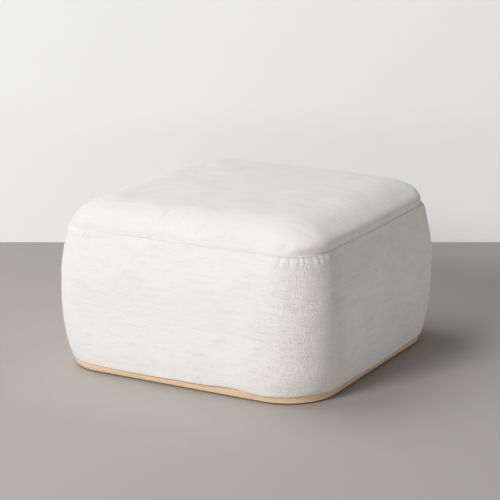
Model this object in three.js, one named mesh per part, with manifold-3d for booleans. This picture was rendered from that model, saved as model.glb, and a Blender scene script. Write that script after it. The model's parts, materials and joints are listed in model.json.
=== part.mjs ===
import * as THREE from 'three';
import { LoftGeometry } from 'three/addons/geometries/LoftGeometry.js';
import { mergeVertices } from 'three/addons/utils/BufferGeometryUtils.js';
import Module from 'manifold-3d';

// A square storage ottoman: a padded box on a low oak plinth, shut by a crowned padded lid that is hinged at the back.
// Millimetres, +Z up. The origin is the middle of the underside of the plinth's foot, and the front faces -Y.
// "half" is half the side of a square outline, and "corner" is the radius of its corners.

const GAP = 0.3; // between pieces that touch

// Oak plinth: a board on a thin foot that is set back all round, so that a dark gap shows over the floor
const PLINTH = { footHeight: 3.5, footInset: 25, height: 20.2, half: 329.5, corner: 116, easedEdge: 1.5 };

// Padded box. Its side is widest at the belly, draws in to the hem below and to the rim above, and bows outwards
// a little along each side. "fall" is the power of the curve from the belly: higher stays full for longer.
const BELLY = { low: 166.5, high: 190.5, half: 346.5, corner: 106, bow: 2.7 };
const HEM = { z: PLINTH.height + GAP, half: 337.5, corner: 130, fall: 3, cornerFall: 1.8, turn: 3 };
const RIM = { z: 332.5, half: 323.3, corner: 90, bow: 3.9, backBow: 0, fall: 2.2, cornerFall: 1.6, round: 5 };
const INSIDE = { half: 283, corner: 30, round: 4 };
const SECTIONS_BELOW_BELLY = 7;
const SECTIONS_ABOVE_BELLY = 8;

// Panel that closes the bottom of the storage space
const FLOOR_THICKNESS = 12;

// Padded lid: a low upright side, then a broad roll. A crown is added over the whole top, which leans a little.
const LID = { side: 6, lowerRound: 3, rollWidth: 98, rollHeight: 49, tightening: 0.6 };
const CROWN = { height: 13.8, fullness: 0.84, lean: 3.2 };
const SECTIONS_OF_ROLL = 10;
const SECTIONS_OF_CROWN = 7;
const ROUNDEST = 0.9; // the most that a section's corners may take up of its half side

// Flat panel on the lid's underside, just inside the rim
const PANEL = { thickness: 6, margin: 5 };

const EASED_PANEL = 1; // the eased edges of the floor and of the lid's panel

// Strip hinge in the back seam. "play" is round the knuckles, and "split" is between them.
const HINGE = { y: 322, length: 442, knuckles: 17, radius: 2.5, leaf: 1, leafWidth: 20, play: 0.4, split: 0.3 };
const KNUCKLE_PITCH = HINGE.length / HINGE.knuckles;
const CLEAR_RADIUS = HINGE.radius + HINGE.play;
const KNUCKLE_FACETS = 12;

// Facets of the outlines
const CORNER_STEPS = 9;
const SIDE_STEPS = 4;

const wasm = await Module();
wasm.setup();

// A closed geometry as a solid that can be joined and cut.
function toSolid(geometry) {
  const bare = new THREE.BufferGeometry();
  bare.setAttribute('position', geometry.getAttribute('position'));
  bare.setIndex(geometry.getIndex());
  const merged = mergeVertices(bare, 1e-3);
  return new wasm.Manifold(new wasm.Mesh({
    numProp: 3,
    vertProperties: merged.attributes.position.array,
    triVerts: new Uint32Array(merged.index.array),
  }));
}

function toGeometry(solid) {
  const { vertProperties, triVerts } = solid.getMesh();
  const geometry = new THREE.BufferGeometry();
  geometry.setAttribute('position', new THREE.BufferAttribute(vertProperties, 3));
  geometry.setIndex(new THREE.BufferAttribute(triVerts, 1));
  geometry.computeVertexNormals();
  return geometry;
}

// A block between two corners, each given as [x, y, z].
function block(low, high) {
  const size = high.map((value, axis) => value - low[axis]);
  const middle = high.map((value, axis) => (value + low[axis]) / 2);
  return new THREE.BoxGeometry(...size).translate(...middle);
}

// A round bar on the hinge's axis, from x0 to x1.
function hingeBar(radius, x0, x1) {
  return new THREE.CylinderGeometry(radius, radius, x1 - x0, KNUCKLE_FACETS)
    .rotateZ(Math.PI / 2)
    .translate((x0 + x1) / 2, HINGE.y, RIM.z);
}

// One level section: a square with rounded corners whose sides bow outwards. The back (+Y) side may bow less.
// Points run anticlockwise seen from above, starting on the right (+X) side.
function section({ half, corner, bow = 0, backBow = bow, z }) {
  const straight = half - corner;
  const points = [];
  for (let side = 0; side < 4; side++) {
    const sideBow = side === 1 ? backBow : bow;
    const local = [];
    for (let i = 0; i < SIDE_STEPS; i++) {
      const along = -straight + 2 * straight * i / SIDE_STEPS;
      const swell = sideBow * (0.5 + 0.5 * Math.cos(Math.PI * along / straight));
      local.push(new THREE.Vector3(half + swell, along, z));
    }
    for (let i = 0; i < CORNER_STEPS; i++) {
      const angle = Math.PI / 2 * i / CORNER_STEPS;
      local.push(new THREE.Vector3(straight + corner * Math.cos(angle), straight + corner * Math.sin(angle), z));
    }
    const turn = new THREE.Matrix4().makeRotationZ(side * Math.PI / 2);
    points.push(...local.map((point) => point.applyMatrix4(turn)));
  }
  return points;
}

// An outline pulled in all round and set at another height.
function inset(outline, by, z) {
  return { ...outline, half: outline.half - by, corner: outline.corner - by, z };
}

// A flat panel with rounded corners and eased edges, between two heights.
function panel(half, corner, z0, z1, edge) {
  const straight = half - corner;
  const radius = corner - edge;
  const shape = new THREE.Shape();
  shape.moveTo(half - edge, -straight);
  shape.absarc(straight, straight, radius, 0, Math.PI / 2);
  shape.absarc(-straight, straight, radius, Math.PI / 2, Math.PI);
  shape.absarc(-straight, -straight, radius, Math.PI, Math.PI * 1.5);
  shape.absarc(straight, -straight, radius, Math.PI * 1.5, Math.PI * 2);
  return new THREE.ExtrudeGeometry(shape, {
    depth: z1 - z0 - 2 * edge,
    bevelSize: edge,
    bevelThickness: edge,
    bevelSegments: 2,
    curveSegments: CORNER_STEPS,
  }).translate(0, 0, z0 + edge);
}

// The plinth's board joined to its foot.
function plinth() {
  const board = panel(PLINTH.half, PLINTH.corner, PLINTH.footHeight, PLINTH.height, PLINTH.easedEdge);
  const footTop = (PLINTH.footHeight + PLINTH.height) / 2;
  const foot = panel(PLINTH.half - PLINTH.footInset, PLINTH.corner - PLINTH.footInset, 0, footTop, PLINTH.easedEdge / 3);
  return toGeometry(toSolid(board).add(toSolid(foot)));
}

// The outline of the padded box's outside at height z.
function boxOutside(z) {
  if (z <= BELLY.low) {
    const down = (BELLY.low - z) / (BELLY.low - HEM.z);
    return {
      half: BELLY.half - (BELLY.half - HEM.half) * down ** HEM.fall,
      corner: BELLY.corner - (BELLY.corner - HEM.corner) * down ** HEM.cornerFall,
      bow: BELLY.bow,
      z,
    };
  }
  const t = Math.max(0, (z - BELLY.high) / (RIM.z - BELLY.high));
  return {
    half: BELLY.half - (BELLY.half - RIM.half) * t ** RIM.fall,
    corner: BELLY.corner - (BELLY.corner - RIM.corner) * t ** RIM.cornerFall,
    bow: BELLY.bow + (RIM.bow - BELLY.bow) * t,
    backBow: BELLY.bow + (RIM.backBow - BELLY.bow) * t,
    z,
  };
}

// The padded box's side: sections run up its outside, over the rim, down its inside and back to the first.
function paddedBox() {
  const inside = { half: INSIDE.half, corner: INSIDE.corner };
  const outlines = [{ ...inside, z: HEM.z }];

  // hem, turned under on a small radius
  const hemTop = HEM.z + HEM.turn;
  for (const angle of [0, 45]) {
    const a = THREE.MathUtils.degToRad(angle);
    outlines.push(inset(boxOutside(hemTop), HEM.turn * (1 - Math.sin(a)), hemTop - HEM.turn * Math.cos(a)));
  }

  // outside
  for (let i = 0; i < SECTIONS_BELOW_BELLY; i++) {
    outlines.push(boxOutside(hemTop + (BELLY.low - hemTop) * i / SECTIONS_BELOW_BELLY));
  }
  const top = RIM.z - GAP;
  const shoulderZ = top - RIM.round;
  for (let i = 0; i <= SECTIONS_ABOVE_BELLY; i++) {
    outlines.push(boxOutside(BELLY.low + (shoulderZ - BELLY.low) * i / SECTIONS_ABOVE_BELLY));
  }

  // rim, rounded over to the top and down to the inside
  for (const angle of [30, 60, 90]) {
    const a = THREE.MathUtils.degToRad(angle);
    outlines.push(inset(boxOutside(shoulderZ), RIM.round * (1 - Math.cos(a)), shoulderZ + RIM.round * Math.sin(a)));
  }
  for (const angle of [90, 45, 0]) {
    const a = THREE.MathUtils.degToRad(angle);
    outlines.push(inset(inside, -INSIDE.round * (1 - Math.cos(a)), top - INSIDE.round * (1 - Math.sin(a))));
  }
  outlines.push({ ...inside, z: HEM.z });
  return new LoftGeometry(outlines.map(section));
}

// How far the filling lifts the lid over a point: most in the middle, nothing at the edges, and more to the right.
function crownAt(x, y) {
  const across = Math.max(0, 1 - (x / RIM.half) ** 2);
  const along = Math.max(0, 1 - (y / RIM.half) ** 2);
  return CROWN.height * (across * along) ** CROWN.fullness + CROWN.lean * x / RIM.half;
}

// One section of the lid's top, inset from its edge, where the roll has risen by a share of its height.
function topSection(inward, rolled) {
  const half = RIM.half - inward;
  const corner = RIM.corner - LID.tightening * Math.min(inward, LID.rollWidth);
  const bow = RIM.bow * half / RIM.half;
  const points = section({
    half,
    corner: Math.min(corner, ROUNDEST * half),
    bow,
    backBow: bow * rolled,
    z: RIM.z + LID.side + LID.rollHeight * rolled,
  });
  for (const point of points) point.z += rolled * crownAt(point.x, point.y);
  return points;
}

// The padded lid: sections run up its side, round the roll and over the crown. Its underside is flat.
function paddedLid() {
  const edge = { half: RIM.half, corner: RIM.corner, bow: RIM.bow, backBow: RIM.backBow };
  const sections = [];
  for (const angle of [0, 45, 90]) {
    const a = THREE.MathUtils.degToRad(angle);
    const turned = inset(edge, LID.lowerRound * (1 - Math.sin(a)), RIM.z + LID.lowerRound * (1 - Math.cos(a)));
    sections.push(section(turned));
  }
  for (let i = 0; i <= SECTIONS_OF_ROLL; i++) {
    const a = Math.PI / 2 * i / SECTIONS_OF_ROLL;
    sections.push(topSection(LID.rollWidth * (1 - Math.cos(a)), Math.sin(a)));
  }
  const crownWidth = RIM.half - LID.rollWidth;
  for (let i = 1; i < SECTIONS_OF_CROWN; i++) {
    sections.push(topSection(LID.rollWidth + crownWidth * i / SECTIONS_OF_CROWN, 1));
  }
  return new LoftGeometry(sections, { capStart: true, capEnd: true });
}

// One leaf with its knuckles. Side -1 is the box's leaf, with the even knuckles, and side 1 is the lid's.
function hingeLeaf(side) {
  const start = -HINGE.length / 2;
  const faces = [side * GAP / 2, side * (GAP / 2 + HINGE.leaf)].sort((a, b) => a - b);
  const z0 = RIM.z + faces[0];
  const z1 = RIM.z + faces[1];
  const leafEnd = HINGE.y - CLEAR_RADIUS;
  let leaf = toSolid(block([start, HINGE.y - HINGE.leafWidth, z0], [-start, leafEnd, z1]));
  for (let i = side === -1 ? 0 : 1; i < HINGE.knuckles; i += 2) {
    const x0 = start + KNUCKLE_PITCH * i + (i > 0 ? HINGE.split / 2 : 0);
    const x1 = start + KNUCKLE_PITCH * (i + 1) - (i < HINGE.knuckles - 1 ? HINGE.split / 2 : 0);
    const tab = block([x0, leafEnd - HINGE.leaf, z0], [x1, HINGE.y, z1]);
    leaf = leaf.add(toSolid(tab)).add(toSolid(hingeBar(HINGE.radius, x0, x1)));
  }
  return toGeometry(leaf);
}

// The recess for a leaf and the knuckles in the padded piece on that side of the seam.
function hingeRecess(side) {
  const end = HINGE.length / 2 + 1;
  const faces = [-side * GAP, side * (GAP * 1.5 + HINGE.leaf)].sort((a, b) => a - b);
  const outside = HINGE.y + RIM.round;
  const bed = block([-end, HINGE.y - HINGE.leafWidth - 1, RIM.z + faces[0]], [end, outside, RIM.z + faces[1]]);
  const mouth = block([-end, HINGE.y, RIM.z - CLEAR_RADIUS], [end, outside, RIM.z + CLEAR_RADIUS]);
  return toSolid(bed).add(toSolid(mouth)).add(toSolid(hingeBar(CLEAR_RADIUS, -end, end)));
}

const coverCloth = { color: 0xe9e4dc, roughness: 0.95, metalness: 0 };
const oak = { color: 0xdcb98c, roughness: 0.55, metalness: 0 };
const liningCloth = { color: 0xd9d2c6, roughness: 0.95, metalness: 0 };
const steel = { color: 0xb4b4b2, roughness: 0.35, metalness: 1 };

const ottoman = new THREE.Group();

function addPiece(name, geometry, finish) {
  const mesh = new THREE.Mesh(geometry, new THREE.MeshStandardMaterial(finish));
  mesh.name = name;
  ottoman.add(mesh);
}

addPiece('plinth', plinth(), oak);

addPiece('body', toGeometry(toSolid(paddedBox()).subtract(hingeRecess(-1))), coverCloth);

const floorTop = HEM.z + FLOOR_THICKNESS;
const boxFloor = panel(INSIDE.half - GAP, INSIDE.corner - GAP, HEM.z, floorTop, EASED_PANEL);
addPiece('box_floor', boxFloor, liningCloth);

addPiece('lid', toGeometry(toSolid(paddedLid()).subtract(hingeRecess(1))), coverCloth);

const panelTop = RIM.z - GAP;
const lidPanel = panel(INSIDE.half - PANEL.margin, INSIDE.corner, panelTop - PANEL.thickness, panelTop, EASED_PANEL);
addPiece('lid_panel', lidPanel, liningCloth);

addPiece('hinge_base_leaf', hingeLeaf(-1), steel);
addPiece('hinge_lid_leaf', hingeLeaf(1), steel);

export default ottoman;
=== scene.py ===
import json
import math

import bmesh
import bpy
import numpy as np
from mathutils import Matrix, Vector


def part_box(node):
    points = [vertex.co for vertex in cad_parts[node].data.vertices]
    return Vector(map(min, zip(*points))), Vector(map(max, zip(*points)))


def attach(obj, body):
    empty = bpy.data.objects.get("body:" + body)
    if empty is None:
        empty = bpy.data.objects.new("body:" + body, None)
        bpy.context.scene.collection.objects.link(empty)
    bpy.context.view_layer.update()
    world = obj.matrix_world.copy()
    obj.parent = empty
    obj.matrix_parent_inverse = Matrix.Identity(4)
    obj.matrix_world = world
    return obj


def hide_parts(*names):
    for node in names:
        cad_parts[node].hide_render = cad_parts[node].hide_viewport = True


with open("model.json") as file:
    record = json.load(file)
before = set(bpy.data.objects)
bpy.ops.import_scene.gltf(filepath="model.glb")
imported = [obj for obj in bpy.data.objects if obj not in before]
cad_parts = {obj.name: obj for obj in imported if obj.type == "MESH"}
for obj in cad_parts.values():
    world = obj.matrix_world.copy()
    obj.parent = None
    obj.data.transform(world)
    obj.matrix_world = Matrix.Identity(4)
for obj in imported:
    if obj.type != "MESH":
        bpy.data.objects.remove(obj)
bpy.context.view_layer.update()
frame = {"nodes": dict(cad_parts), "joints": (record.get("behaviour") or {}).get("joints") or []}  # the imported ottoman: metres, +Z up, origin on the floor under the middle of the plinth
print("frame loaded:", ", ".join(sorted(frame["nodes"])))

scene = bpy.context.scene
scene.view_settings.view_transform = "Standard"
toneShoulder = [(0.45, 0.45), (0.7, 0.715), (0.85, 0.835), (1.0, 0.91)]  # light levels and how they show
scene.view_settings.use_curve_mapping = True
toneCurve = scene.view_settings.curve_mapping.curves[3]
toneCurve.points[1].location = toneShoulder[-1]
for level, shown in toneShoulder[:-1]:
    toneCurve.points.new(level, shown)
scene.view_settings.curve_mapping.update()

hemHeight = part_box("body")[0].z
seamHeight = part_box("lid")[0].z
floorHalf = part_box("box_floor")[1].x
leafLow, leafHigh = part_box("hinge_base_leaf")
hingeAxis = Vector(frame["joints"][0]["pos_m"])

# "half" is half the side of a square outline with round corners, "corner" is their radius, and "bow" is how
# far the middle of a side swells out. The back side, with the hinge, may bow less. "fall" and "cornerFall"
# are powers: the higher they are, the longer the outline keeps the belly's shape before it draws in.
gap = 0.0003
belly = {"low": 0.1665, "high": 0.1905, "half": 0.3465, "corner": 0.106, "bow": 0.0027}
hem = {"z": hemHeight, "half": 0.3375, "corner": 0.13, "fall": 3, "cornerFall": 1.8, "turn": 0.003}
rim = {
    "z": seamHeight, "half": 0.3233, "corner": 0.09, "bow": 0.0039, "fall": 2.2, "cornerFall": 1.6,
    "round": 0.0012,
}
inside = {"half": floorHalf + gap, "corner": 0.03, "round": 0.004}
plinth = {"half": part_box("plinth")[1].x, "corner": 0.116}


def placeObject(name, mesh, body):
    piece = bpy.data.objects.new(name, mesh)
    scene.collection.objects.link(piece)
    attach(piece, body)
    return piece


def smoothStep(low, high, value):
    share = np.clip((value - low) / (high - low), 0, 1)
    return share * share * (3 - 2 * share)


def fadeOut(distance, reach, start):
    # 1 as far as the share "start" of the reach, and down to 0 at its end
    return 1 - smoothStep(start, 1, np.abs(distance) / reach)


def softNoise(points, size, seed, waves=16):
    # smooth rises and hollows about "size" across, roughly between -1 and 1
    chance = np.random.RandomState(seed)
    total = np.zeros(points.shape[:-1])
    for _ in range(waves):
        direction = chance.normal(size=3)
        direction /= np.linalg.norm(direction)
        length = size * chance.uniform(0.7, 1.6)
        total += np.sin(points @ direction * (2 * math.pi / length) + chance.uniform(0, 2 * math.pi))
    return total / math.sqrt(waves)


def sidePoints(side, along, half, corner, bow, backBow):
    # side 0 is the right, 1 the back, 2 the left and 3 the front; "along" runs from the middle of the side
    straight = half - corner
    reach = np.abs(along)
    angle = np.maximum(reach - straight, 0) / corner
    sideBow = np.where(side == 1, backBow, bow)
    swell = sideBow * (0.5 + 0.5 * np.cos(math.pi * np.minimum(reach / straight, 1)))
    outward = straight + corner * np.cos(angle) + swell
    sideways = np.sign(along) * (np.minimum(reach, straight) + corner * np.sin(angle))
    turn = side * (math.pi / 2)
    x = outward * np.cos(turn) - sideways * np.sin(turn)
    y = outward * np.sin(turn) + sideways * np.cos(turn)
    return x, y


def atCorner(side, share, firstSide):
    # where a point lies round the corner that follows a side
    return ((side == firstSide) & (share > 0)) | ((side == (firstSide + 1) % 4) & (share < 0))


def meshFrom(bm, name):
    mesh = bpy.data.meshes.new(name)
    bm.to_mesh(mesh)
    bm.free()
    return mesh


def gridMesh(name, columns, rows):
    bm = bmesh.new()
    bmesh.ops.create_grid(bm, x_segments=columns, y_segments=rows, size=1)
    mesh = meshFrom(bm, name)
    flat = np.empty(len(mesh.vertices) * 3)
    mesh.vertices.foreach_get("co", flat)
    flat = flat.reshape(-1, 3)
    column = np.rint((flat[:, 0] + 1) / 2 * columns).astype(int)
    row = np.rint((flat[:, 1] + 1) / 2 * rows).astype(int)
    return mesh, column, row


def setPoints(mesh, points):
    mesh.vertices.foreach_set("co", np.ascontiguousarray(points, dtype=np.float32).ravel())
    mesh.update()


def getNormals(mesh):
    normals = np.empty(len(mesh.vertices) * 3, dtype=np.float32)
    mesh.vertex_normals.foreach_get("vector", normals)
    return normals.reshape(-1, 3).astype(float)


def setSlack(mesh, values):
    # how loosely the cloth lies, from 0 to 1, which is how strongly its relief shows
    layer = mesh.attributes.new("slack", "FLOAT", "POINT")
    layer.data.foreach_set("value", np.asarray(values, dtype=np.float32))


def setUv(mesh, uv):
    layer = mesh.uv_layers.new(name="clothMap")
    corners = np.empty(len(mesh.loops), dtype=np.int32)
    mesh.loops.foreach_get("vertex_index", corners)
    layer.data.foreach_set("uv", uv[corners].astype(np.float32).ravel())


def newGroup(name, inputs, outputs):
    # every group takes a vector, and numbers with their usual values
    group = bpy.data.node_groups.new(name, "ShaderNodeTree")
    group.interface.new_socket("Vector", in_out="INPUT", socket_type="NodeSocketVector")
    for socketName, value in inputs.items():
        socket = group.interface.new_socket(socketName, in_out="INPUT", socket_type="NodeSocketFloat")
        socket.default_value = value
    for socketName in outputs:
        group.interface.new_socket(socketName, in_out="OUTPUT", socket_type="NodeSocketFloat")
    given = group.nodes.new("NodeGroupInput").outputs
    result = group.nodes.new("NodeGroupOutput").inputs
    return group, given, result


def connect(tree, source, target):
    # a number is set on the socket, and a socket is linked to it
    if isinstance(source, (int, float)):
        target.default_value = source
    else:
        tree.links.new(source, target)


def mathNode(tree, operation, first, second=0.0, third=0.0):
    node = tree.nodes.new("ShaderNodeMath")
    node.operation = operation
    for value, socket in zip((first, second, third), node.inputs):
        connect(tree, value, socket)
    return node.outputs[0]


def noiseNode(tree, vector, size, detail):
    # "size" is in metres
    node = tree.nodes.new("ShaderNodeTexNoise")
    tree.links.new(vector, node.inputs["Vector"])
    node.inputs["Scale"].default_value = 1 / size
    node.inputs["Detail"].default_value = detail
    return node.outputs["Fac"]


def rangeNode(tree, value, low, high, toLow, toHigh):
    node = tree.nodes.new("ShaderNodeMapRange")
    node.clamp = True
    for source, socket in zip((value, low, high, toLow, toHigh), node.inputs):
        connect(tree, source, socket)
    return node.outputs["Result"]


def stretchNode(tree, vector, alongU, alongV):
    # makes a pattern with features alongU by alongV metres have features one unit across
    node = tree.nodes.new("ShaderNodeCombineXYZ")
    split = tree.nodes.new("ShaderNodeSeparateXYZ")
    tree.links.new(vector, split.inputs[0])
    tree.links.new(mathNode(tree, "DIVIDE", split.outputs[0], alongU), node.inputs[0])
    tree.links.new(mathNode(tree, "DIVIDE", split.outputs[1], alongV), node.inputs[1])
    tree.links.new(mathNode(tree, "DIVIDE", split.outputs[2], alongV), node.inputs[2])
    return node.outputs[0]


def makePlainWeave():
    # threads over and under each other, "Pitch" apart and wandering a little
    group, given, result = newGroup("plainWeave", {"Pitch": 0.0012, "Wander": 0.0006}, ["Height"])
    split = group.nodes.new("ShaderNodeSeparateXYZ")
    group.links.new(given["Vector"], split.inputs[0])
    wander = mathNode(group, "SUBTRACT", noiseNode(group, given["Vector"], 0.02, 1.0), 0.5)
    wander = mathNode(group, "MULTIPLY", wander, given["Wander"])
    waves = []
    for axis in (0, 1):
        place = mathNode(group, "ADD", split.outputs[axis], wander)
        turns = mathNode(group, "DIVIDE", place, given["Pitch"])
        waves.append(mathNode(group, "SINE", mathNode(group, "MULTIPLY", turns, math.pi)))
    product = mathNode(group, "MULTIPLY", waves[0], waves[1])
    height = mathNode(group, "MULTIPLY_ADD", product, 0.5, 0.5)
    group.links.new(height, result["Height"])
    return group


def makeThickYarns():
    # uneven yarns: streaks "Along U" by "Along V" metres, of which the strongest part, "Share", shows
    group, given, result = newGroup(
        "thickYarns", {"Along U": 0.05, "Along V": 0.002, "Share": 0.3}, ["Mask", "Height"])
    stretched = stretchNode(group, given["Vector"], given["Along U"], given["Along V"])
    noise = noiseNode(group, stretched, 1.0, 1.5)
    low = mathNode(group, "SUBTRACT", 0.72, mathNode(group, "MULTIPLY", given["Share"], 0.4))
    high = mathNode(group, "ADD", low, 0.12)
    group.links.new(rangeNode(group, noise, low, high, 0.0, 1.0), result["Mask"])
    group.links.new(noise, result["Height"])
    return group


def makeNubs():
    # small round knots of yarn, about "Spacing" apart, on the share of places that "Share" gives
    group, given, result = newGroup("nubs", {"Spacing": 0.02, "Size": 0.002, "Share": 0.3}, ["Mask"])
    cells = group.nodes.new("ShaderNodeTexVoronoi")
    group.links.new(given["Vector"], cells.inputs["Vector"])
    group.links.new(mathNode(group, "DIVIDE", 1.0, given["Spacing"]), cells.inputs["Scale"])
    chance = group.nodes.new("ShaderNodeSeparateXYZ")
    group.links.new(cells.outputs["Color"], chance.inputs[0])
    chosen = mathNode(group, "LESS_THAN", chance.outputs[0], given["Share"])
    reach = mathNode(group, "DIVIDE", given["Size"], given["Spacing"])
    dot = rangeNode(group, cells.outputs["Distance"], 0.0, reach, 1.0, 0.0)
    group.links.new(mathNode(group, "MULTIPLY", dot, chosen), result["Mask"])
    return group


def makeWoodGrain():
    # long fibres along U with darker pores and slow changes of tone
    group, given, result = newGroup(
        "woodGrain", {"Fibre Length": 0.12, "Fibre Width": 0.0012}, ["Tone", "Pores", "Height"])

    def streaks(longer, wider, detail):
        length = mathNode(group, "MULTIPLY", given["Fibre Length"], longer)
        width = mathNode(group, "MULTIPLY", given["Fibre Width"], wider)
        return noiseNode(group, stretchNode(group, given["Vector"], length, width), 1.0, detail)

    fibres = streaks(1.0, 1.0, 3.0)
    bands = streaks(2.2, 5.0, 2.0)
    pores = streaks(0.08, 0.35, 1.0)
    fineTone = mathNode(group, "MULTIPLY", fibres, 0.45)
    broadTone = mathNode(group, "MULTIPLY", bands, 0.55)
    tone = mathNode(group, "ADD", fineTone, broadTone)
    poreMask = rangeNode(group, pores, 0.6, 0.7, 0.0, 1.0)
    group.links.new(rangeNode(group, tone, 0.3, 0.7, 0.0, 1.0), result["Tone"])
    group.links.new(poreMask, result["Pores"])
    group.links.new(mathNode(group, "SUBTRACT", fibres, poreMask), result["Height"])
    return group


plainWeave = makePlainWeave()
thickYarns = makeThickYarns()
nubs = makeNubs()
woodGrain = makeWoodGrain()


def newMaterial(name, roughness):
    material = bpy.data.materials.new(name)
    material.use_nodes = True
    shader = material.node_tree.nodes["Principled BSDF"]
    shader.inputs["Roughness"].default_value = roughness
    return material, material.node_tree, shader


def groupNode(tree, group, vector, values):
    node = tree.nodes.new("ShaderNodeGroup")
    node.node_tree = group
    tree.links.new(vector, node.inputs["Vector"])
    for name, value in values.items():
        node.inputs[name].default_value = value
    return node


def mixColour(tree, share, first, second):
    node = tree.nodes.new("ShaderNodeMix")
    node.data_type = "RGBA"
    connect(tree, share, node.inputs["Factor"])
    for value, socket in ((first, node.inputs["A"]), (second, node.inputs["B"])):
        if isinstance(value, tuple):
            socket.default_value = (*value, 1)
        else:
            tree.links.new(value, socket)
    return node.outputs["Result"]


def addBump(tree, shader, height, distance):
    bump = tree.nodes.new("ShaderNodeBump")
    bump.inputs["Distance"].default_value = distance
    tree.links.new(height, bump.inputs["Height"])
    tree.links.new(bump.outputs["Normal"], shader.inputs["Normal"])


def clothVector(tree):
    node = tree.nodes.new("ShaderNodeUVMap")
    node.uv_map = "clothMap"
    return node.outputs["UV"]


coverLook = {
    "roughness": 0.95, "sheen": 0.15, "sheenRoughness": 0.6, "shine": 0.25,
    "colour": (0.80, 0.778, 0.752), "paleColour": (0.845, 0.825, 0.80), "slubColour": (0.66, 0.635, 0.61),
    "cloudSize": 0.09, "cloudRange": (0.3, 0.7),
    "patchSize": (0.075, 0.012), "patchRange": (0.5, 0.68), "patchTone": 0.25,
    "weave": {"Pitch": 0.0013, "Wander": 0.0008},
    "slubs": {"Along U": 0.03, "Along V": 0.0018, "Share": 0.24}, "slubTone": 0.6,
    "longSlubs": {"Along U": 0.075, "Along V": 0.0024, "Share": 0.18}, "longSlubTone": 0.52,
    "warpYarns": {"Along U": 0.0034, "Along V": 0.022, "Share": 0.5},
    "warpRange": (0.35, 0.65), "warpTone": 0.05,
    "nubs": {"Spacing": 0.017, "Size": 0.0026, "Share": 0.3}, "nubTone": 0.25,
    "pebbleSize": 0.0036,
    "weaveDepth": 0.3, "slubDepth": 0.5, "warpDepth": 1.15, "nubDepth": 0.7, "pebbleDepth": 1.45,
    "bump": 0.0016,
}


def makeCoverCloth(look):
    material, tree, shader = newMaterial("coverCloth", look["roughness"])
    shader.inputs["Sheen Weight"].default_value = look["sheen"]
    shader.inputs["Sheen Roughness"].default_value = look["sheenRoughness"]
    shader.inputs["Specular IOR Level"].default_value = look["shine"]
    vector = clothVector(tree)
    weave = groupNode(tree, plainWeave, vector, look["weave"])
    slubs = groupNode(tree, thickYarns, vector, look["slubs"])
    longSlubs = groupNode(tree, thickYarns, vector, look["longSlubs"])
    warp = groupNode(tree, thickYarns, vector, look["warpYarns"])
    knots = groupNode(tree, nubs, vector, look["nubs"])
    cloud = rangeNode(tree, noiseNode(tree, vector, look["cloudSize"], 3.0), *look["cloudRange"], 0.0, 1.0)
    colour = mixColour(tree, cloud, look["colour"], look["paleColour"])
    patches = noiseNode(tree, stretchNode(tree, vector, *look["patchSize"]), 1.0, 2.0)
    patchTone = rangeNode(tree, patches, *look["patchRange"], 0.0, look["patchTone"])
    colour = mixColour(tree, patchTone, colour, look["slubColour"])
    warpTone = rangeNode(tree, warp.outputs["Height"], *look["warpRange"], look["warpTone"], 0.0)
    colour = mixColour(tree, warpTone, colour, look["slubColour"])
    for yarns, tone in ((slubs, "slubTone"), (longSlubs, "longSlubTone")):
        share = mathNode(tree, "MULTIPLY", yarns.outputs["Mask"], look[tone])
        colour = mixColour(tree, share, colour, look["slubColour"])
    knotTone = mathNode(tree, "MULTIPLY", knots.outputs["Mask"], look["nubTone"])
    colour = mixColour(tree, knotTone, colour, look["paleColour"])
    tree.links.new(colour, shader.inputs["Base Color"])
    pebbles = noiseNode(tree, vector, look["pebbleSize"], 2.0)
    parts = [
        (slubs.outputs["Mask"], "slubDepth"), (longSlubs.outputs["Mask"], "slubDepth"),
        (warp.outputs["Height"], "warpDepth"), (knots.outputs["Mask"], "nubDepth"),
        (pebbles, "pebbleDepth"),
    ]
    height = mathNode(tree, "MULTIPLY", weave.outputs["Height"], look["weaveDepth"])
    for part, depth in parts:
        height = mathNode(tree, "MULTIPLY_ADD", part, look[depth], height)
    slack = tree.nodes.new("ShaderNodeAttribute")
    slack.attribute_name = "slack"
    addBump(tree, shader, mathNode(tree, "MULTIPLY", height, slack.outputs["Fac"]), look["bump"])
    return material


panelLook = {
    "roughness": 0.95, "colour": (0.60, 0.55, 0.48), "darkColour": (0.47, 0.43, 0.37),
    "weave": {"Pitch": 0.0016, "Wander": 0.0004},
    "yarns": {"Along U": 0.02, "Along V": 0.0018, "Share": 0.4}, "yarnTone": 0.3, "bump": 0.0003,
}


def makePanelCloth(look):
    material, tree, shader = newMaterial("panelCloth", look["roughness"])
    vector = clothVector(tree)
    weave = groupNode(tree, plainWeave, vector, look["weave"])
    yarns = groupNode(tree, thickYarns, vector, look["yarns"])
    colour = mixColour(tree, weave.outputs["Height"], look["darkColour"], look["colour"])
    yarnTone = mathNode(tree, "MULTIPLY", yarns.outputs["Mask"], look["yarnTone"])
    colour = mixColour(tree, yarnTone, colour, look["darkColour"])
    tree.links.new(colour, shader.inputs["Base Color"])
    height = mathNode(tree, "ADD", weave.outputs["Height"], yarns.outputs["Mask"])
    addBump(tree, shader, height, look["bump"])
    return material


oakLook = {
    "pale": (0.80, 0.61, 0.43), "dark": (0.66, 0.455, 0.295), "pore": (0.48, 0.31, 0.18), "poreTone": 0.35,
    "grain": {"Fibre Length": 0.14, "Fibre Width": 0.0016},
    "roughness": (0.58, 0.46), "shine": 0.15, "bump": 0.0001,
}


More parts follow.
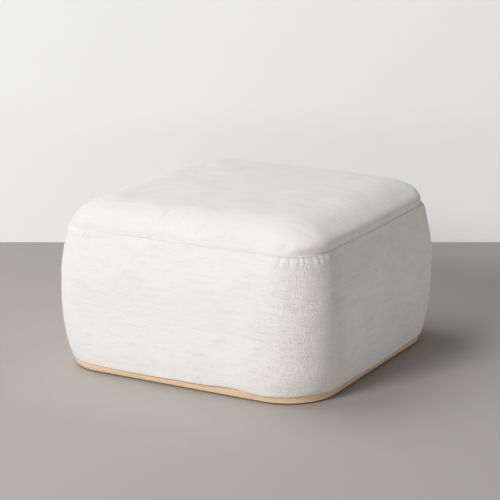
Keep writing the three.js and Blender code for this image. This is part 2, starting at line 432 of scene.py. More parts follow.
def makeOak(look):
    material, tree, shader = newMaterial("oak", 0.5)
    shader.inputs["Specular IOR Level"].default_value = look["shine"]
    grain = groupNode(tree, woodGrain, clothVector(tree), look["grain"])
    colour = mixColour(tree, grain.outputs["Tone"], look["dark"], look["pale"])
    poreTone = mathNode(tree, "MULTIPLY", grain.outputs["Pores"], look["poreTone"])
    colour = mixColour(tree, poreTone, colour, look["pore"])
    tree.links.new(colour, shader.inputs["Base Color"])
    roughness = rangeNode(tree, grain.outputs["Tone"], 0.0, 1.0, *look["roughness"])
    tree.links.new(roughness, shader.inputs["Roughness"])
    addBump(tree, shader, grain.outputs["Height"], look["bump"])
    return material


steelLook = {
    "dark": (0.52, 0.52, 0.51), "pale": (0.70, 0.70, 0.69), "brushing": (0.03, 0.0002),
    "roughness": (0.28, 0.46), "bump": 0.00003,
}


def makeHingeSteel(look):
    material, tree, shader = newMaterial("hingeSteel", 0.35)
    shader.inputs["Metallic"].default_value = 1
    place = tree.nodes.new("ShaderNodeTexCoord")
    brushed = stretchNode(tree, place.outputs["Object"], *look["brushing"])
    lines = noiseNode(tree, brushed, 1.0, 2.0)
    tree.links.new(mixColour(tree, lines, look["dark"], look["pale"]), shader.inputs["Base Color"])
    tree.links.new(rangeNode(tree, lines, 0.2, 0.8, *look["roughness"]), shader.inputs["Roughness"])
    addBump(tree, shader, lines, look["bump"])
    return material


coverCloth = makeCoverCloth(coverLook)
panelCloth = makePanelCloth(panelLook)
oak = makeOak(oakLook)
hingeSteel = makeHingeSteel(steelLook)
print("materials made")


cameraSetup = {
    "azimuth": 28.92, "elevation": 15.37, "distance": 4.509, "height": 0.2035, "aimAbove": 0.0356,
    "lens": 138.56,
}


def directionTo(azimuth, elevation):
    # azimuth is turned from the front toward the right
    a = math.radians(azimuth)
    e = math.radians(elevation)
    return Vector((math.sin(a) * math.cos(e), -math.cos(a) * math.cos(e), math.sin(e)))


def makeCamera(setup):
    back = directionTo(setup["azimuth"], setup["elevation"])
    up = directionTo(setup["azimuth"], setup["elevation"] + 90)
    target = Vector((0, 0, setup["height"]))
    camera = bpy.data.objects.new("camera", bpy.data.cameras.new("camera"))
    camera.data.lens = setup["lens"]
    camera.location = target + back * setup["distance"]
    camera.rotation_mode = "QUATERNION"
    aim = target + up * setup["aimAbove"] - camera.location
    camera.rotation_quaternion = aim.to_track_quat("-Z", "Y")
    scene.collection.objects.link(camera)
    scene.camera = camera
    return back


cameraBack = makeCamera(cameraSetup)


studio = {
    "floorSize": 14, "floorColour": (0.455, 0.43, 0.402), "roughness": 0.9,
    "wallBehind": 0.99, "wallColour": (0.77, 0.775, 0.785), "wallGlow": 0.12,
    "roomColour": (1.0, 0.98, 0.955), "ceilingStrength": 0.17,
    "horizonStrength": 2.9, "horizonRise": (-0.02, 0.0), "horizonFall": (0.04, 0.16),
}
lamps = {
    "frontLamp": {
        "azimuth": -12, "elevation": 28, "distance": 7.0, "width": 2.0, "height": 2.0, "power": 303,
        "colour": (1.0, 0.993, 0.985),
    },
    "windowLamp": {
        "azimuth": -84, "elevation": 60, "distance": 6.0, "width": 5.0, "height": 3.4, "power": 176,
        "colour": (0.985, 0.992, 1.0),
    },
}
lampTarget = Vector((0, 0, 0.2))


def placeStage(name, bm, material):
    mesh = meshFrom(bm, name)
    mesh.materials.append(material)
    piece = bpy.data.objects.new(name, mesh)
    scene.collection.objects.link(piece)
    return piece


def makeFloor():
    bm = bmesh.new()
    bmesh.ops.create_grid(bm, x_segments=1, y_segments=1, size=studio["floorSize"])
    material, _, shader = newMaterial("studioFloor", studio["roughness"])
    shader.inputs["Base Color"].default_value = (*studio["floorColour"], 1)
    placeStage("studioFloor", bm, material)


def makeWall():
    # faces the camera, is see-through from behind, and casts no light or shadow
    level = Vector((cameraBack.x, cameraBack.y, 0)).normalized()
    bm = bmesh.new()
    bmesh.ops.create_grid(bm, x_segments=1, y_segments=1, size=studio["floorSize"])
    turn = level.to_track_quat("Z", "Y").to_matrix()
    bmesh.ops.rotate(bm, verts=bm.verts, cent=(0, 0, 0), matrix=turn)
    bmesh.ops.translate(bm, verts=bm.verts, vec=level * -studio["wallBehind"])
    everything = bm.verts[:] + bm.edges[:] + bm.faces[:]
    bmesh.ops.bisect_plane(bm, geom=everything, plane_co=(0, 0, 0), plane_no=(0, 0, -1), clear_outer=True)
    material, tree, shader = newMaterial("studioWall", studio["roughness"])
    shader.inputs["Base Color"].default_value = (*studio["wallColour"], 1)
    shader.inputs["Emission Color"].default_value = (1, 1, 1, 1)
    shader.inputs["Emission Strength"].default_value = studio["wallGlow"]
    clear = tree.nodes.new("ShaderNodeBsdfTransparent")
    facing = tree.nodes.new("ShaderNodeNewGeometry")
    choice = tree.nodes.new("ShaderNodeMixShader")
    tree.links.new(facing.outputs["Backfacing"], choice.inputs["Fac"])
    tree.links.new(shader.outputs[0], choice.inputs[1])
    tree.links.new(clear.outputs[0], choice.inputs[2])
    tree.links.new(choice.outputs[0], tree.nodes["Material Output"].inputs["Surface"])
    piece = placeStage("studioWall", bm, material)
    piece.visible_shadow = False
    piece.visible_diffuse = False
    piece.visible_glossy = False
    piece.visible_transmission = False


def makeLamp(name, lamp):
    light = bpy.data.lights.new(name, "AREA")
    light.shape = "RECTANGLE"
    light.size = lamp["width"]
    light.size_y = lamp["height"]
    light.energy = lamp["power"]
    light.color = lamp["colour"]
    toward = directionTo(lamp["azimuth"], lamp["elevation"])
    piece = bpy.data.objects.new(name, light)
    piece.location = toward * lamp["distance"] + lampTarget
    piece.rotation_mode = "QUATERNION"
    piece.rotation_quaternion = (-toward).to_track_quat("-Z", "Y")
    scene.collection.objects.link(piece)


def makeWorld():
    # a dim room, pale low down where its far walls are
    world = bpy.data.worlds.new("studioWorld")
    world.use_nodes = True
    tree = world.node_tree
    background = tree.nodes["Background"]
    background.inputs["Color"].default_value = (*studio["roomColour"], 1)
    direction = tree.nodes.new("ShaderNodeTexCoord")
    split = tree.nodes.new("ShaderNodeSeparateXYZ")
    tree.links.new(direction.outputs["Generated"], split.inputs[0])
    rise = rangeNode(tree, split.outputs[2], *studio["horizonRise"], 0.0, studio["horizonStrength"])
    fall = rangeNode(tree, split.outputs[2], *studio["horizonFall"], 1.0, 0.0)
    strength = mathNode(tree, "MULTIPLY_ADD", rise, fall, studio["ceilingStrength"])
    tree.links.new(strength, background.inputs["Strength"])
    scene.world = world


makeFloor()
makeWall()
makeWorld()
for lampName, lamp in lamps.items():
    makeLamp(lampName, lamp)
print("camera, floor, backdrop and lights placed")


# "frontHem" gives places along the front and how far the hem rides up at each; "reliefStart" and
# "reliefEnd" are rows, counted from the first and the last row of the outside
box = {
    "reliefStart": (-3, 2), "reliefEnd": (-4, 0), "weld": 0.00001,
    "cornerColumns": 50, "sideColumns": 100,
    "undersideRows": 5, "hemRows": 4, "outsideRows": 70, "rimRows": 6, "topRows": 8, "innerRoundRows": 4,
    "insideRows": 14, "upperCrowding": 1.5,
    "unevenness": 0.0007, "unevenSize": 0.16, "rippleDepth": 0.00025, "rippleSize": 0.03,
    "gatherPitch": (0.010, 0.022), "gatherHeight": (0.0010, 0.0024), "gatherLength": (0.016, 0.028),
    "gatherPeak": 0.4, "gatherRoundness": 0.8, "gatherLean": 0.25,
    "gatherReach": 0.09, "gatherFade": 0.6,
    "creaseDepth": (0.0002, 0.0009), "creaseWidth": 0.0016, "creaseLength": (0.008, 0.03),
    "creaseFade": 0.1,
    "frontHem": [
        (-0.30, 0.0008), (-0.212, 0.0), (-0.16, -0.0020), (-0.105, -0.0022), (-0.052, -0.0012), (0.0, 0.0),
        (0.055, 0.0), (0.075, 0.0002), (0.108, 0.0026), (0.132, 0.0040), (0.150, 0.0028), (0.177, -0.0004),
        (0.200, -0.0022), (0.225, -0.0024), (0.26, -0.0012), (0.30, 0.0),
    ],
    "frontHemFade": (0.26, 0.32),
    "hemWave": 0.0010, "hemDrop": 0.0005, "hemSize": 0.22, "hemFade": 0.04,
    "puff": 0.0022, "puffPeak": 0.013, "puffReach": 0.085, "puffFade": 0.4,
    "nearPuff": 0.0045, "nearPeak": 0.024, "nearReach": 0.12, "nearFade": 0.6,
    "slackSides": 0.5, "slackReach": 0.15, "slackFade": 0.3, "seed": 7,
}


def boxOutside(z):
    # half, corner, bow and backBow of the box at a height
    down = np.clip((belly["low"] - z) / (belly["low"] - hem["z"]), 0, None)
    rise = np.clip((z - belly["high"]) / (rim["z"] - belly["high"]), 0, None)

    def drawnIn(size, power):
        towardRim = belly[size] - (belly[size] - rim[size]) * rise ** rim[power]
        towardHem = belly[size] - (belly[size] - hem[size]) * down ** hem[power]
        return np.where(z > belly["low"], towardRim, towardHem)

    bow = belly["bow"] + (rim["bow"] - belly["bow"]) * rise
    return drawnIn("half", "fall"), drawnIn("corner", "cornerFall"), bow, belly["bow"] * (1 - rise)


def boxProfile(settings):
    # one entry for each row: half, corner, bow, backBow, z; it runs up the outside and down the inside
    rows = []
    hemTop = hem["z"] + hem["turn"]
    foot = boxOutside(hemTop)
    for i in range(settings["undersideRows"]):
        share = i / (settings["undersideRows"] - 1)
        half = inside["half"] + (plinth["half"] + gap - inside["half"]) * share
        corner = inside["corner"] + (plinth["corner"] + gap - inside["corner"]) * share
        rows.append((half, corner, 0, 0, hem["z"]))
    for i in range(settings["hemRows"]):
        a = math.pi / 2 * i / settings["hemRows"]
        pulled = hem["turn"] * (1 - math.sin(a))
        z = hemTop - hem["turn"] * math.cos(a)
        rows.append((foot[0] - pulled, foot[1] - pulled, foot[2], foot[3], z))
    top = rim["z"] - gap
    shoulderZ = top - rim["round"]
    for i in range(settings["outsideRows"]):
        share = 1 - (1 - i / settings["outsideRows"]) ** settings["upperCrowding"]
        z = hemTop + (shoulderZ - hemTop) * share
        rows.append((*boxOutside(z), z))
    shoulder = boxOutside(shoulderZ)
    for i in range(settings["rimRows"]):
        a = math.pi / 2 * i / settings["rimRows"]
        pulled = rim["round"] * (1 - math.cos(a))
        z = shoulderZ + rim["round"] * math.sin(a)
        rows.append((shoulder[0] - pulled, shoulder[1] - pulled, shoulder[2], shoulder[3], z))
    ledge = (shoulder[0] - rim["round"], shoulder[1] - rim["round"])
    lip = (inside["half"] + inside["round"], inside["corner"] + inside["round"])
    for i in range(settings["topRows"]):
        share = i / settings["topRows"]
        rows.append((ledge[0] + (lip[0] - ledge[0]) * share, ledge[1] + (lip[1] - ledge[1]) * share,
                     shoulder[2] * (1 - share), shoulder[3] * (1 - share), top))
    for i in range(settings["innerRoundRows"]):
        a = math.pi / 2 * i / settings["innerRoundRows"]
        pulled = inside["round"] * math.sin(a)
        z = top - inside["round"] * (1 - math.cos(a))
        rows.append((lip[0] - pulled, lip[1] - pulled, 0, 0, z))
    wallTop = top - inside["round"]
    for i in range(settings["insideRows"] + 1):
        z = wallTop + (hem["z"] - wallTop) * i / settings["insideRows"]
        rows.append((inside["half"], inside["corner"], 0, 0, z))
    return np.array(rows).T


def softRelief(points, settings):
    relief = softNoise(points, settings["unevenSize"], settings["seed"]) * settings["unevenness"]
    relief += softNoise(points, settings["rippleSize"], settings["seed"] + 1) * settings["rippleDepth"]
    return relief


def gatherRelief(distance, away, settings, seed):
    # cloth gathered round one corner: low puffs of uneven width with rounded ends, parted by short creases
    chance = np.random.RandomState(seed)
    edges = [-settings["gatherReach"]]
    while edges[-1] < settings["gatherReach"]:
        edges.append(edges[-1] + chance.uniform(*settings["gatherPitch"]))
    count = len(edges) - 1
    height = chance.uniform(*settings["gatherHeight"], size=count)
    length = chance.uniform(*settings["gatherLength"], size=count)
    creaseDepth = chance.uniform(*settings["creaseDepth"], size=count + 1)
    creaseLength = chance.uniform(*settings["creaseLength"], size=count + 1)
    leaning = distance + chance.uniform(-1, 1) * settings["gatherLean"] * away
    place = np.interp(leaning, edges, np.arange(count + 1))
    which = np.clip(place.astype(int), 0, count - 1)
    fullest = settings["gatherPeak"] * length[which]
    climb = np.abs(away - fullest) / np.where(away < fullest, fullest, length[which] - fullest)
    puff = 1 - (2 * (place - which) - 1) ** 2 - climb ** 2
    puff = height[which] * np.clip(puff, 0, 1) ** settings["gatherRoundness"]
    nearest = np.clip(np.rint(place).astype(int), 0, count)
    off = (leaning - np.array(edges)[nearest]) / settings["creaseWidth"]
    crease = np.exp(-off ** 2) * creaseDepth[nearest]
    crease *= 1 - smoothStep(settings["creaseFade"], 1, away / creaseLength[nearest])
    return (puff - crease) * fadeOut(distance, settings["gatherReach"], settings["gatherFade"])


def hemLift(x, y, settings):
    # how far the lower edge of the cover rides up; the front has its own places and lifts
    places, lifts = zip(*settings["frontHem"])
    front = np.interp(x, places, lifts)
    points = np.stack([x, y, np.zeros_like(x)], axis=-1)
    others = softNoise(points, settings["hemSize"], settings["seed"] + 3) * settings["hemWave"]
    others = np.clip(others, -settings["hemDrop"], None)
    frontShare = smoothStep(*settings["frontHemFade"], -y)
    return others + (front - others) * frontShare


def placeCover(bm, mesh, body):
    bmesh.ops.recalc_face_normals(bm, faces=bm.faces)
    bm.to_mesh(mesh)
    bm.free()
    mesh.polygons.foreach_set("use_smooth", np.ones(len(mesh.polygons), dtype=bool))
    mesh.update()
    mesh.materials.append(coverCloth)
    return placeObject(mesh.name, mesh, body)


def makeBoxCover(settings):
    half, corner, bow, backBow, z = boxProfile(settings)
    quarter = 2 * settings["cornerColumns"] + settings["sideColumns"]
    columns = 4 * quarter
    rows = len(z) - 1
    mesh, column, row = gridMesh("boxCover", columns, rows)

    # the columns start at the left back corner; "share" runs from -2 to 2 along a side, beyond 1 on corners
    turn = np.minimum(column // quarter, 3)
    side = np.array([2, 3, 0, 1])[turn]
    step = column - turn * quarter
    breaks = np.cumsum([0, settings["cornerColumns"], settings["sideColumns"], settings["cornerColumns"]])
    share = np.interp(step, breaks, [-2, -1, 1, 2])
    inner = np.clip(share, -1, 1)
    straight = half[row] - corner[row]
    arc = corner[row] * math.pi / 4
    along = inner * straight + (share - inner) * arc
    x, y = sidePoints(side, along, half[row], corner[row], bow[row], backBow[row])
    points = np.stack([x, y, z[row]], axis=-1)

    # lengths round the belly and up the profile, so that the weave keeps its scale
    stepLength = np.hypot(np.diff(half), np.diff(z))
    climb = np.concatenate([[0], np.cumsum(stepLength)])[row]
    bellyStraight = belly["half"] - belly["corner"]
    bellyArc = belly["corner"] * math.pi / 4
    girth = inner * bellyStraight + (share - inner) * bellyArc
    girth += (2 * turn + 1) * (bellyStraight + bellyArc)
    setUv(mesh, np.stack([girth, climb], axis=-1))

    # relief on the outside
    grid = np.empty((rows + 1, columns + 1, 3))
    grid[row, column] = points
    across = np.roll(grid[:, :-1], -1, axis=1) - np.roll(grid[:, :-1], 1, axis=1)
    up = np.roll(grid[:-1], -1, axis=0) - np.roll(grid[:-1], 1, axis=0)
    across = np.concatenate([across, across[:, :1]], axis=1)
    up = np.concatenate([up, up[:1]], axis=0)
    normal = np.cross(across, up)
    normal /= np.linalg.norm(normal, axis=-1, keepdims=True)
    normal = normal[row, column]
    firstOutside = settings["undersideRows"] + settings["hemRows"]
    lastOutside = firstOutside + settings["outsideRows"] + settings["rimRows"]
    outer = smoothStep(*settings["reliefStart"], row - firstOutside)
    outer *= 1 - smoothStep(*settings["reliefEnd"], row - lastOutside)
    relief = softRelief(points, settings)
    below = rim["z"] - points[:, 2]
    rimArc = rim["corner"] * math.pi / 4
    rimStraight = rim["half"] - rim["corner"]
    fromCorner = np.abs(share) - 2
    distance = np.where(fromCorner > -1, fromCorner * rimArc, -rimArc + (fromCorner + 1) * rimStraight)
    distance = np.where(share > 0, distance, -distance)
    for firstSide in range(4):
        gathers = gatherRelief(distance, below, settings, settings["seed"] + 10 + firstSide)
        relief += np.where(atCorner(side, share, firstSide), gathers, 0)

    # every corner swells out just below the seam, and the one after the front again, lower and wider
    def swell(depth, peak, reach, fade):
        height = np.clip(below / settings[peak], 0, None)
        spread = fadeOut(distance, settings[reach], settings[fade])
        return settings[depth] * height * np.exp(1 - height) * spread

    nearCorner = atCorner(side, share, 3)
    relief += swell("puff", "puffPeak", "puffReach", "puffFade")
    relief += np.where(nearCorner, swell("nearPuff", "nearPeak", "nearReach", "nearFade"), 0)
    points = points + normal * (relief * outer)[:, None]
    loose = np.where(nearCorner, fadeOut(distance, settings["slackReach"], settings["slackFade"]), 0)
    setSlack(mesh, 1 - (1 - settings["slackSides"]) * (1 - loose))
    hanging = (row >= settings["undersideRows"]) & (row < lastOutside)
    hemShare = 1 - smoothStep(0, settings["hemFade"], points[:, 2] - hem["z"])
    points[:, 2] += np.where(hanging, hemShare * hemLift(points[:, 0], points[:, 1], settings), 0)
    setPoints(mesh, clearHinge(points, -1))

    bm = bmesh.new()
    bm.from_mesh(mesh)
    bm.verts.ensure_lookup_table()
    joined = (column == 0) | (column == columns) | (row == 0) | (row == rows)
    ends = [bm.verts[i] for i in np.flatnonzero(joined)]
    bmesh.ops.remove_doubles(bm, verts=ends, dist=settings["weld"])
    piece = placeCover(bm, mesh, "base")
    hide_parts("body")
    return piece


# room for the hinge: over its leaf, round its knuckles, past its ends, before it, and for the lid's swing
hingeSeat = {
    "bed": 0.0015, "clear": 0.003, "margin": 0.0035, "endFade": 0.003, "bedMargin": 0.0026, "reach": 0.008,
    "swing": 0.0007, "swingSlope": 0.3,
}


def clearHinge(points, side):
    # presses the cloth back from the leaf and the knuckles; side -1 is under the seam and 1 over it
    x, y, z = points.T
    reach = leafHigh.x + hingeSeat["margin"]
    ends = 1 - smoothStep(reach, reach + hingeSeat["endFade"], np.abs(x))
    offAxis = np.clip(y - hingeAxis.y, -hingeSeat["clear"], 0)
    knuckle = np.sqrt(hingeSeat["clear"] ** 2 - offAxis ** 2)
    bedEdge = leafLow.y - hingeSeat["bedMargin"]
    behindBed = smoothStep(bedEdge - hingeSeat["bedMargin"], bedEdge, y)
    depth = np.maximum(knuckle, hingeSeat["bed"]) * behindBed * ends
    near = (np.abs(z - hingeAxis.z) < hingeSeat["reach"]) & (depth > 0)
    pushed = hingeAxis.z + side * depth
    moved = np.where(near, np.minimum(z, pushed) if side < 0 else np.maximum(z, pushed), z)
    if side < 0:
        return np.stack([x, y, np.minimum(moved, rim["z"] - gap)], axis=-1)
    # the lid's back edge stays in front of the pin, so that it clears the box as it swings up
    moved = np.maximum(moved, rim["z"])
    furthest = hingeAxis.y - hingeSeat["swing"] + hingeSeat["swingSlope"] * (z - rim["z"])
    return np.stack([x, np.minimum(y, furthest), moved], axis=-1)


# "leftTuck" and "farTuck" are a depth, the place above the seam where it is deepest, and a height, and
# "reliefEnd" is rings, counted from the bottom of the side
lid = {
    "reliefEnd": (-2, 3),
    "side": 0.006, "lowerRound": 0.0007, "rollWidth": 0.098, "rollHeight": 0.049, "tightening": 0.6,
    "roundest": 0.9,
    "crownHeight": 0.0138, "crownFullness": 0.84, "crownLean": 0.0032,
    "crownRings": 62, "rollRings": 56, "sideRings": 3, "roundRings": 5, "undersideRings": 10,
    "undersideHalf": 0.265,
    "unevenness": 0.0008, "unevenSize": 0.14, "rippleDepth": 0.0001, "rippleSize": 0.04,
    "farCornerLift": 0.0035, "leftSag": 0.003,
    "bandHeight": 0.0145, "bandIn": 0.0036, "bandOut": 0.0042, "bandFade": 2.0, "bandSide": 0.9,
    "bandStart": (-0.045, -0.018), "bandEase": (0.03, 0.10), "bandEnd": (-0.08, -0.02),
    "leftTuck": (0.0040, 0.019, 0.013), "farTuck": (0.0034, 0.004, 0.016), "cornerFade": (0.05, 0.11),
    "frontLean": 0.0016, "leanHeight": 0.014, "leanFade": (0.02, 0.05), "frontEnds": (0.2, 0.26),
    "tuckWidth": 0.002, "tuckHeight": 0.014, "tuckFade": 0.3,
    "slackTop": 0.15, "slackSide": 0.6, "slackFade": (0.015, 0.05),
    "gatherPitch": (0.012, 0.026), "gatherHeight": (0.0002, 0.0006), "gatherLength": (0.010, 0.018),
    "gatherPeak": 0.3, "gatherRoundness": 0.9, "gatherLean": 0.2,
    "gatherReach": 0.085, "gatherFade": 0.6,
    "creaseDepth": (0.0001, 0.0004), "creaseWidth": 0.0018, "creaseLength": (0.008, 0.018),
    "creaseFade": 0.1, "seed": 31,
}

# shallow diagonal troughs on the front of the lid's top: two ends, depth and width
lidWrinkles = [
    ((-0.049, -0.256), (-0.057, -0.317), 0.0017, 0.0042),
    ((0.004, -0.260), (-0.009, -0.303), 0.0016, 0.0042),
    ((0.062, -0.288), (0.045, -0.324), 0.0016, 0.0040),
]

# small tucks in the lid's front edge: place along the front and depth
seamTucks = [(-0.057, 0.0012), (0.0515, 0.0009), (0.014, 0.0004)]


def crownAt(x, y):
    across = np.clip(1 - (x / rim["half"]) ** 2, 0, None)
    along = np.clip(1 - (y / rim["half"]) ** 2, 0, None)
    lean = lid["crownLean"] * x / rim["half"]
    return lid["crownHeight"] * (across * along) ** lid["crownFullness"] + lean


def lidProfile(settings):
    # one entry for each ring, from the middle of the top out to the edge and in along the underside:
    # half, corner, bow, backBow, z without its crown, and the share of the crown
    rings = []

    def topRing(inward, rolled):
        half = rim["half"] - inward
        tight = rim["corner"] - settings["tightening"] * min(inward, settings["rollWidth"])
        bow = rim["bow"] * half / rim["half"]
        z = rim["z"] + settings["side"] + settings["rollHeight"] * rolled
        rings.append((half, min(tight, settings["roundest"] * half), bow, bow * rolled, z, rolled))

    crownWidth = rim["half"] - settings["rollWidth"]
    for i in range(settings["crownRings"]):
        topRing(rim["half"] - crownWidth * i / settings["crownRings"], 1)
    for i in range(settings["rollRings"] + 1):
        a = math.pi / 2 * (1 - i / settings["rollRings"])
        topRing(settings["rollWidth"] * (1 - math.cos(a)), math.sin(a))
    roundTop = rim["z"] + settings["lowerRound"]
    for i in range(1, settings["sideRings"]):
        z = roundTop + (settings["side"] - settings["lowerRound"]) * (1 - i / settings["sideRings"])
        rings.append((rim["half"], rim["corner"], rim["bow"], 0, z, 0))
    for i in range(settings["roundRings"] + 1):
        a = math.pi / 2 * i / settings["roundRings"]
        pulled = settings["lowerRound"] * (1 - math.cos(a))
        rings.append((rim["half"] - pulled, rim["corner"] - pulled, rim["bow"], 0,
                      roundTop - settings["lowerRound"] * math.sin(a), 0))
    edge = rim["half"] - settings["lowerRound"]
    for i in range(1, settings["undersideRings"] + 1):
        share = i / settings["undersideRings"]
        half = edge + (settings["undersideHalf"] - edge) * share
        rings.append((half, rim["corner"] - (edge - half), rim["bow"] * (1 - share), 0, rim["z"], 0))
    return np.array(rings).T


# a low bank runs on either side of a trough: its height and offset are shares of the depth and the width
wrinkleShape = {"endPower": 0.7, "bankHeight": 0.35, "bankOffset": 1.9}


def troughDepth(x, y, wrinkle):
    (x0, y0), (x1, y1), depth, width = wrinkle
    length = math.hypot(x1 - x0, y1 - y0)
    along = ((x - x0) * (x1 - x0) + (y - y0) * (y1 - y0)) / length ** 2
    off = ((x - x0) * (y1 - y0) - (y - y0) * (x1 - x0)) / length
    ends = np.clip(1 - (2 * along - 1) ** 2, 0, None) ** wrinkleShape["endPower"]
    banks = wrinkleShape["bankHeight"] * np.exp(-(np.abs(off) / width - wrinkleShape["bankOffset"]) ** 2)
    return depth * ends * (np.exp(-(off / width) ** 2) - banks)


def rolledBack(above, settings):
    # how far the roll lies in from the lid's edge at a height above the seam
    rise = np.clip((above - settings["side"]) / settings["rollHeight"], 0, 1)
    return settings["rollWidth"] * (1 - np.sqrt(1 - rise ** 2))


def makeLidCover(settings):
    half, corner, bow, backBow, baseZ, crowned = lidProfile(settings)
    reach = len(baseZ) - 1
    mesh, column, row = gridMesh("lidCover", 2 * reach, 2 * reach)
    gridX = column - reach
    gridY = row - reach
    ring = np.maximum(np.abs(gridX), np.abs(gridY))
    sideward = np.abs(gridX) >= np.abs(gridY)
    side = np.where(sideward, np.where(gridX > 0, 0, 2), np.where(gridY > 0, 1, 3))
    share = np.where(
        sideward, gridY / np.where(gridX == 0, 1, gridX), -gridX / np.where(gridY == 0, 1, gridY))
    halfHere = np.maximum(half[ring], 0.000001)  # the middle point keeps a trace of size, for the divisions
    cornerHere = np.maximum(corner[ring], 0.0000009)
    along = share * (halfHere - cornerHere + cornerHere * math.pi / 4)
    x, y = sidePoints(side, along, halfHere, cornerHere, bow[ring], backBow[ring])
    z = baseZ[ring] + crowned[ring] * crownAt(x, y)
    points = np.stack([x, y, z], axis=-1)

    radius = np.concatenate([[0], np.cumsum(np.hypot(np.diff(half), np.diff(baseZ)))])[ring]
    setUv(mesh, np.stack([x, y], axis=-1) * (radius / halfHere)[:, None])
    setPoints(mesh, points)
    normal = getNormals(mesh)
    if normal[len(normal) // 2, 2] < 0:
        normal = -normal

    # relief on the top and the roll
    underside = settings["crownRings"] + settings["rollRings"] + settings["sideRings"]
    outer = 1 - smoothStep(*settings["reliefEnd"], ring - underside)
    relief = softRelief(points, settings)
    for wrinkle in lidWrinkles:
        relief -= troughDepth(x, y, wrinkle)
    above = z - rim["z"]
    cornerArc = cornerHere * math.pi / 4
    straight = halfHere - cornerHere
    fromCorner = (np.abs(along) - straight - cornerArc) * (rim["corner"] / cornerHere)
    distance = np.where(share > 0, fromCorner, -fromCorner)
    offTop = ring > settings["crownRings"]
    for firstSide in range(4):
        here = atCorner(side, share, firstSide) & offTop
        ripples = gatherRelief(distance, above, settings, settings["seed"] + 10 + firstSide)
        relief += np.where(here, ripples, 0)

    # along the right side, and most of all round the corner before it, the cloth draws in under the padding
    nearCorner = atCorner(side, share, 3) | ((side == 0) & (share == 0))
    farCorner = atCorner(side, share, 0)
    nearDrawn = smoothStep(*settings["bandStart"], distance)
    nearDrawn *= 1 - (1 - settings["bandSide"]) * smoothStep(*settings["bandEase"], distance)
    farDrawn = settings["bandSide"] * (1 - smoothStep(*settings["bandEnd"], distance))
    drawnShare = np.where(nearCorner, nearDrawn, np.where(farCorner, farDrawn, 0))
    level = above / settings["bandHeight"]
    sloping = (settings["bandIn"] + settings["bandOut"]) * level - settings["bandIn"]
    bandTop = settings["bandOut"] + rolledBack(settings["bandHeight"], settings)
    faded = bandTop * (1 - smoothStep(1, 1 + settings["bandFade"], level))
    band = np.where(level < 1, np.minimum(rolledBack(above, settings) + sloping, bandTop), faded)
    relief += np.where(offTop, band * drawnShare, 0)

    # the left and far corners are flatter, and the front leans back above its edge, with a few small tucks
    for here, name in ((atCorner(side, share, 2), "leftTuck"), (farCorner, "farTuck")):
        depth, place, height = settings[name]
        flatter = depth * np.exp(-((above - place) / height) ** 2)
        flatter *= 1 - smoothStep(*settings["cornerFade"], np.abs(distance))
        relief -= np.where(here & offTop, flatter, 0)
    onFront = np.where((side == 3) & offTop, 1 - smoothStep(*settings["frontEnds"], np.abs(x)), 0)
    lean = smoothStep(0, settings["leanHeight"], above) * (1 - smoothStep(*settings["leanFade"], above))
    relief -= settings["frontLean"] * lean * onFront
    for place, depth in seamTucks:
        tuck = depth * np.exp(-((x - place) / settings["tuckWidth"]) ** 2)
        relief -= tuck * onFront * fadeOut(above, settings["tuckHeight"], settings["tuckFade"])
    points = points + normal * (relief * outer)[:, None]
    rising = smoothStep(*settings["slackFade"], above)
    setSlack(mesh, settings["slackSide"] + (settings["slackTop"] - settings["slackSide"]) * rising)

    # the filling is a little fuller at the far left corner and flatter along the left side
    lift = np.clip(-x / rim["half"], 0, 1) ** 3 * np.clip(y / rim["half"], 0, 1) ** 3
    sag = np.clip(-x / rim["half"], 0, 1) ** 2 * (1 - np.clip(np.abs(y) / rim["half"], 0, 1) ** 2)
    rolled = np.clip((z - rim["z"]) / (settings["side"] + settings["rollHeight"]), 0, 1)
    points[:, 2] += rolled * (settings["farCornerLift"] * lift - settings["leftSag"] * sag)
    setPoints(mesh, clearHinge(points, 1))

    bm = bmesh.new()
    bm.from_mesh(mesh)
    bmesh.ops.holes_fill(bm, edges=[edge for edge in bm.edges if edge.is_boundary], sides=0)
    piece = placeCover(bm, mesh, "lid")
    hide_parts("lid")
    return piece


boxCover = makeBoxCover(box)
print("padded box made:", len(boxCover.data.polygons), "faces")
lidCover = makeLidCover(lid)
print("padded lid made:", len(lidCover.data.polygons), "faces")


boards = {
    "plinthBoard": {
        "node": "plinth", "body": "base", "slot": "oak", "material": oak,
        "corner": plinth["corner"], "edge": 0.0015, "footHeight": 0.0035, "footInset": 0.025,
    },
    "floorPanel": {
        "node": "box_floor", "body": "base", "slot": "lining_cloth", "material": panelCloth,
        "corner": 0.0297, "edge": 0.0012, "footHeight": 0,
    },
    "lidPanel": {
        "node": "lid_panel", "body": "lid", "slot": "lining_cloth", "material": panelCloth,
        "corner": 0.03, "edge": 0.0012, "footHeight": 0,
    },
}
boardColumns = {"corner": 12, "side": 24}


def extrudeUp(bm, faces, height):
    moved = bmesh.ops.extrude_face_region(bm, geom=faces)["geom"]
    bmesh.ops.delete(bm, geom=[face for face in faces if face.is_valid and height < 0], context="FACES")
    movedVerts = [part for part in moved if isinstance(part, bmesh.types.BMVert)]
    bmesh.ops.translate(bm, verts=movedVerts, vec=(0, 0, height))


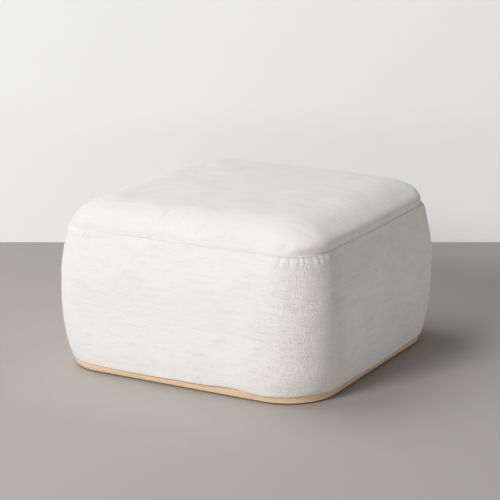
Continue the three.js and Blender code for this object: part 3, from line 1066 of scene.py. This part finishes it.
def makeBoard(name, board):
    low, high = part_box(board["node"])
    quarter = 2 * boardColumns["corner"] + boardColumns["side"]
    bm = bmesh.new()
    bmesh.ops.create_circle(bm, cap_ends=True, radius=high.x, segments=4 * quarter)
    bm.verts.ensure_lookup_table()
    place = np.array([math.atan2(vert.co.y, vert.co.x) for vert in bm.verts]) / (math.pi / 2)
    side = np.floor(place + 0.5).astype(int)
    breaks = [0, boardColumns["corner"], quarter - boardColumns["corner"], quarter]
    share = np.interp((place - side + 0.5) * quarter, breaks, [-2, -1, 1, 2])
    straight = high.x - board["corner"]
    inner = np.clip(share, -1, 1)
    along = inner * straight + (share - inner) * board["corner"] * math.pi / 4
    x, y = sidePoints(side % 4, along, high.x, board["corner"], 0, 0)
    for vert, px, py in zip(bm.verts, x, y):
        vert.co = (px, py, low.z + board["footHeight"])
    extrudeUp(bm, bm.faces[:], high.z - low.z - board["footHeight"])
    bmesh.ops.recalc_face_normals(bm, faces=bm.faces)
    rimEdges = [edge for edge in bm.edges if abs(edge.verts[0].co.z - edge.verts[1].co.z) < 0.0001]
    bmesh.ops.bevel(
        bm, geom=rimEdges, offset=board["edge"], affect="EDGES", segments=3, profile=0.5, material=-1)
    if board["footHeight"]:
        underside = min(bm.faces, key=lambda face: face.calc_center_median().z)
        bmesh.ops.inset_region(bm, faces=[underside], thickness=board["footInset"], use_even_offset=True)
        extrudeUp(bm, [underside], -board["footHeight"])
        bmesh.ops.recalc_face_normals(bm, faces=bm.faces)
    layer = bm.loops.layers.uv.new("clothMap")
    perimeter = 4 * (2 * straight + board["corner"] * math.pi / 2)
    for face in bm.faces:
        level = abs(face.normal.z) > 0.9
        face.smooth = not level
        middle = face.calc_center_median()
        middleTurn = math.atan2(middle.y, middle.x)
        for loop in face.loops:
            if level:
                loop[layer].uv = loop.vert.co.xy
                continue
            turn = math.atan2(loop.vert.co.y, loop.vert.co.x)
            turn -= round((turn - middleTurn) / (2 * math.pi)) * 2 * math.pi
            loop[layer].uv = (turn / (2 * math.pi) * perimeter, loop.vert.co.z)
    mesh = meshFrom(bm, name)
    mesh.materials.append(board["material"])
    piece = placeObject(name, mesh, board["body"])
    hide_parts(board["node"])


for boardName, board in boards.items():
    makeBoard(boardName, board)
print("boards made")


for leafName in ("hinge_base_leaf", "hinge_lid_leaf"):
    leafMesh = frame["nodes"][leafName].data
    leafMesh.materials.clear()
    leafMesh.materials.append(hingeSteel)
print("hinge finished")
